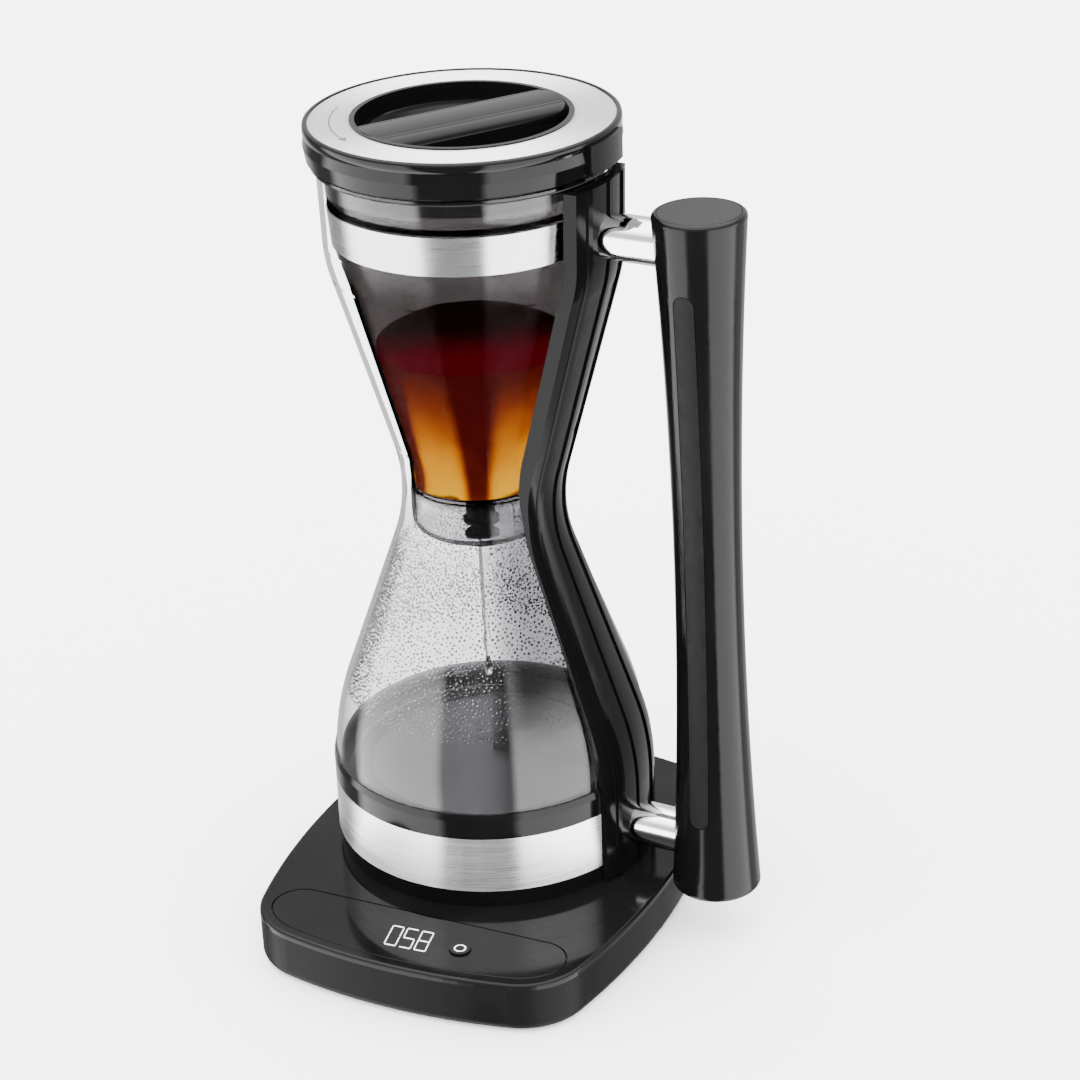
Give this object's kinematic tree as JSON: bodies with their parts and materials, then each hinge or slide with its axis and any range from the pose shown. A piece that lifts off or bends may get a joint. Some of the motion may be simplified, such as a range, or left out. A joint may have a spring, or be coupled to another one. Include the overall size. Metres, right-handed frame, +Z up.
{
  "type": "cold brew coffee maker",
  "caption": "Hourglass glass carafe with a lift-out drip brewer and turning lid grip, side handle on chrome posts, standing on a low powered vacuum base.",
  "frame": {"origin": "middle of the bounding box at the ground", "axes": "+Z up along the carafe, -Y towards the control panel at the front, +X towards the handle"},
  "size_m": [0.2149, 0.212, 0.371],
  "materials": {
    "base_plastic": "satin dark grey plastic",
    "panel": "gloss black",
    "dark_plastic": "matt black plastic",
    "gloss_plastic": "gloss black plastic",
    "button_plastic": "gloss black with a pale ring",
    "soft_grip": "soft grey grip",
    "steel": "plated steel",
    "brushed_steel": "brushed stainless steel",
    "filter_steel": "perforated steel",
    "chrome": "polished chrome",
    "rubber": "black rubber",
    "board": "green circuit board",
    "glass": "clear glass",
    "clear_plastic": "smoky clear plastic"
  },
  "bodies": {
    "base": {"base_housing": "base_plastic", "base_top_plate": "base_plastic", "control_panel": "panel", "bottom_cover": "dark_plastic", "cover_screws": "steel", "rubber_feet": "rubber", "circuit_board": "board", "display_module": "dark_plastic", "vacuum_pump": "dark_plastic", "pump_motor": "steel", "air_tube": "rubber", "suction_nozzle": "dark_plastic", "nozzle_gasket": "rubber", "power_inlet": "dark_plastic"},
    "start_button": {"start_button": "button_plastic"},
    "carafe": {"glass_body": "glass", "foot_sleeve": "gloss_plastic", "lower_band": "brushed_steel", "glass_collar": "gloss_plastic", "floor_disc": "dark_plastic", "floor_gasket": "rubber", "check_valve": "dark_plastic", "spine": "gloss_plastic", "upper_post": "chrome", "lower_post": "chrome", "post_studs": "steel", "handle_core": "gloss_plastic", "handle_top_cap": "gloss_plastic", "handle_bottom_cap": "gloss_plastic", "front_grip_inlay": "soft_grip", "rear_grip_inlay": "soft_grip"},
    "brewer": {"brew_cone": "clear_plastic", "brew_band": "brushed_steel", "brewer_seal": "rubber", "valve_housing": "dark_plastic"},
    "drip_valve": {"drip_valve": "dark_plastic"},
    "filter": {"filter_disc": "filter_steel", "filter_rim": "dark_plastic", "filter_pull": "dark_plastic"},
    "lid": {"lid_shell": "gloss_plastic", "lid_plug": "gloss_plastic", "lid_disc": "brushed_steel", "lid_gasket": "rubber"},
    "lid_grip": {"lid_grip": "gloss_plastic", "grip_retainer": "dark_plastic"}
  },
  "joints": [
    {"name": "start_press", "type": "slide", "parent": "base", "child": "start_button", "axis": [0, 0, -1], "range_m": [0, 0.0008], "stiffness_N_per_m": 600},
    {"name": "carafe_lift", "type": "slide", "parent": "base", "child": "carafe", "axis": [0, 0, 1], "range_m": [0, 0.1]},
    {"name": "brewer_lift", "type": "slide", "parent": "carafe", "child": "brewer", "axis": [0, 0, 1], "range_m": [0, 0.19]},
    {"name": "drip_push", "type": "slide", "parent": "brewer", "child": "drip_valve", "axis": [0, 0, 1], "range_m": [0, 0.0016], "stiffness_N_per_m": 300},
    {"name": "filter_lift", "type": "slide", "parent": "brewer", "child": "filter", "axis": [0, 0, 1], "range_m": [0, 0.1]},
    {"name": "lid_lift", "type": "slide", "parent": "brewer", "child": "lid", "axis": [0, 0, 1], "range_m": [0, 0.06]},
    {"name": "grip_turn", "type": "hinge", "parent": "lid", "child": "lid_grip", "pos_m": [-0.02626, 0.019, 0.37], "axis": [0, 0, 1], "range_deg": [-51, 0]}
  ]
}
